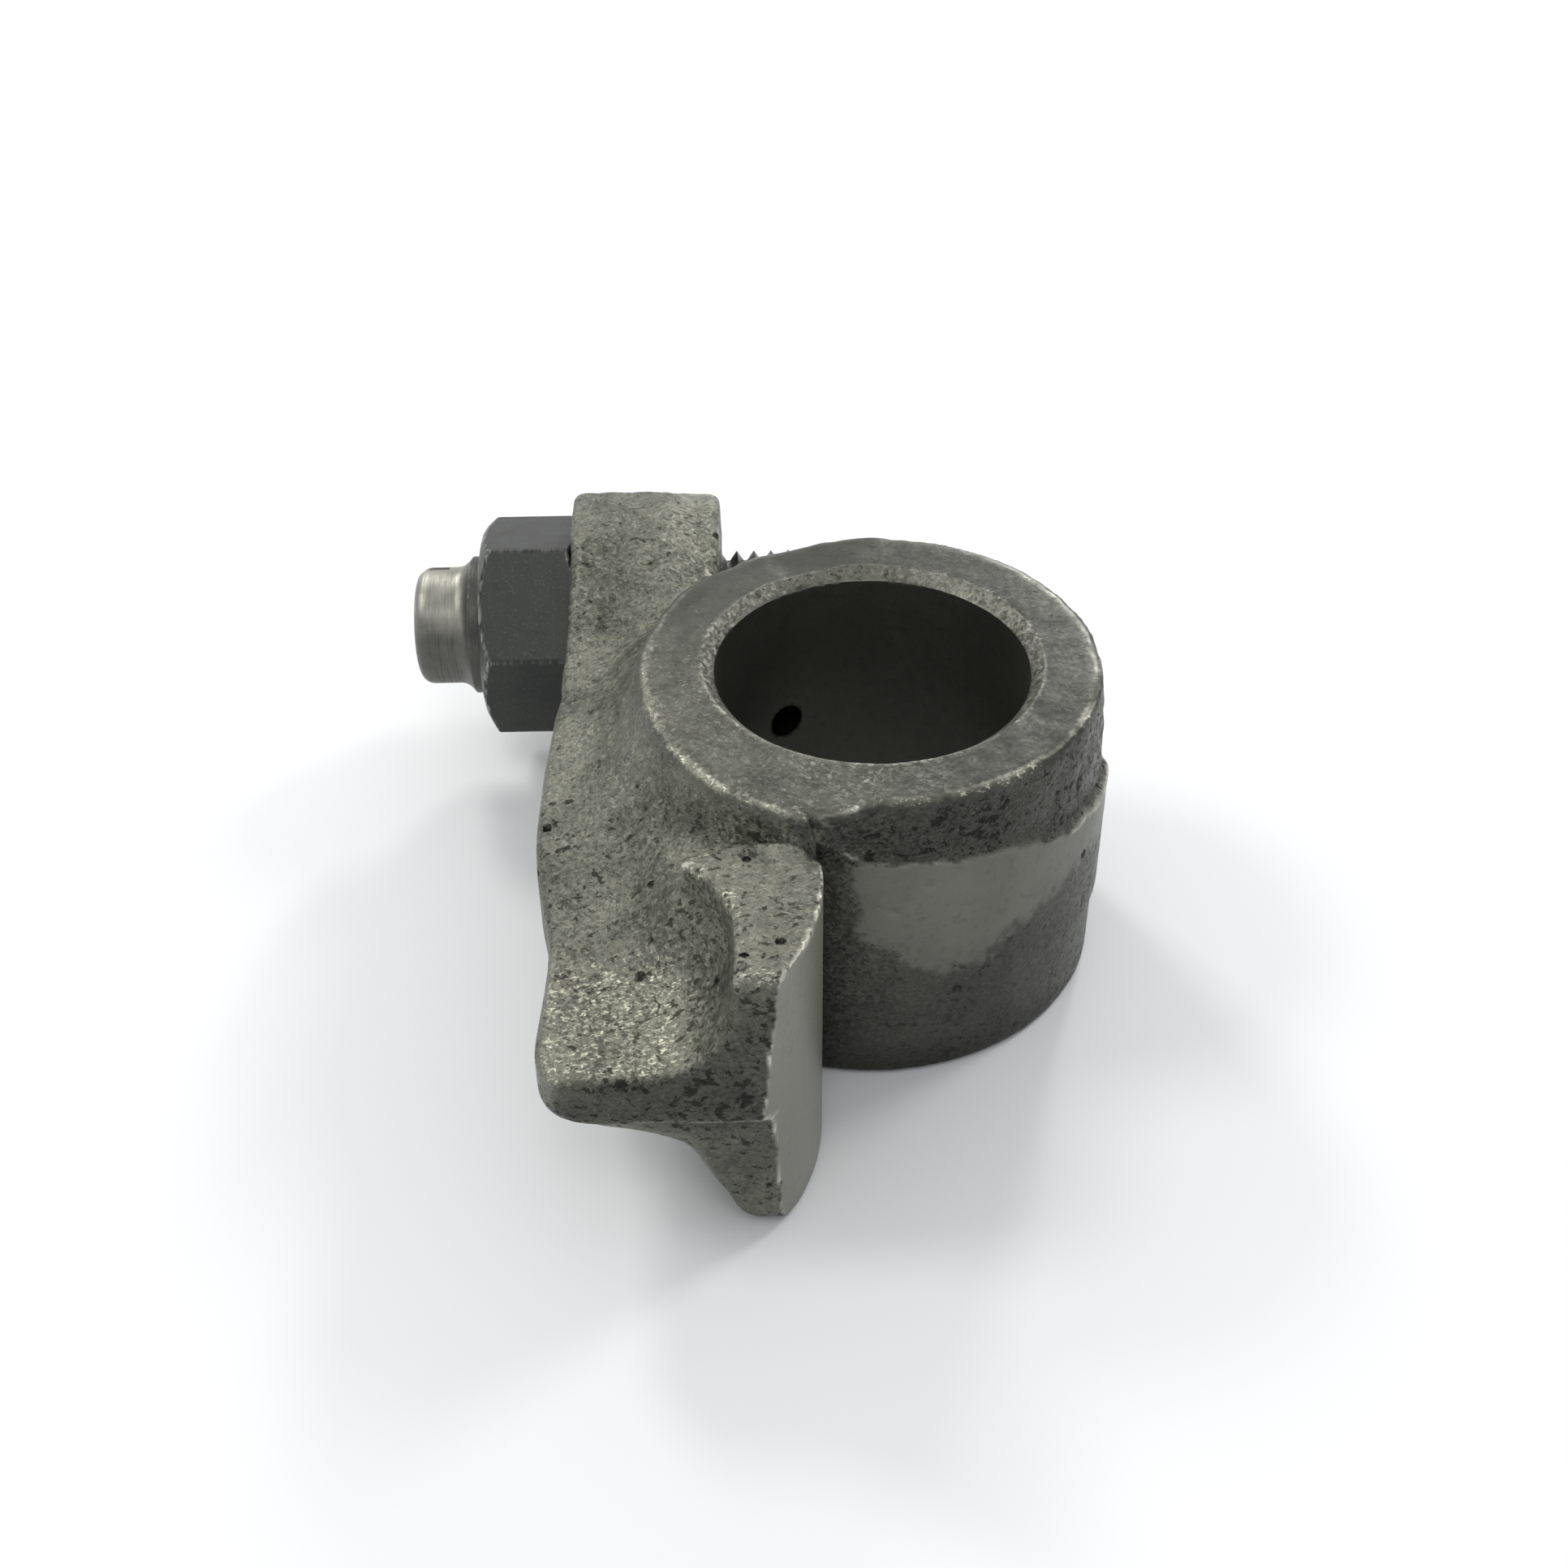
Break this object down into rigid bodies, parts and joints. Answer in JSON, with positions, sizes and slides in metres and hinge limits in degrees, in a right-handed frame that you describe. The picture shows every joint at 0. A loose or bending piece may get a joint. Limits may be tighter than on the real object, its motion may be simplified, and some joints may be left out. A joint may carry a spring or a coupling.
{
  "type": "valve rocker arm",
  "caption": "Cast rocker arm for an overhead-cam engine, with a shaft bore, a curved cam slipper, and a clearance adjusting screw held by a lock nut.",
  "frame": {"origin": "on the axis of the rocker shaft bore, in the plane of the shaft boss's lower face", "axes": "+Z along the shaft bore, +Y from the bore towards the adjusting screw, +X towards the side of the cam and the valve"},
  "size_m": [0.0472, 0.0584, 0.0218],
  "materials": {
    "cast_steel": "shot-blasted casting, ground faces",
    "turned_steel": "turned",
    "blackened_steel": "blackened"
  },
  "bodies": {
    "rocker_arm": {"rocker_arm": "cast_steel"},
    "lock_nut": {"lock_nut": "blackened_steel"},
    "adjusting_screw": {"adjusting_screw": "turned_steel"}
  },
  "joints": [
    {"name": "adjuster_turn", "type": "hinge", "parent": "rocker_arm", "child": "lock_nut", "pos_m": [-0.0235, 0.0206, 0.0109], "axis": [1, 0, 0], "range_deg": [-810, 270]},
    {"name": "screw_feed", "type": "slide", "parent": "lock_nut", "child": "adjusting_screw", "axis": [1, 0, 0], "range_m": [-0.00281, 0.00094]}
  ],
  "couplings": [
    {"joint": "screw_feed", "follows": "adjuster_turn", "m_per_rad": 0.00019894}
  ]
}
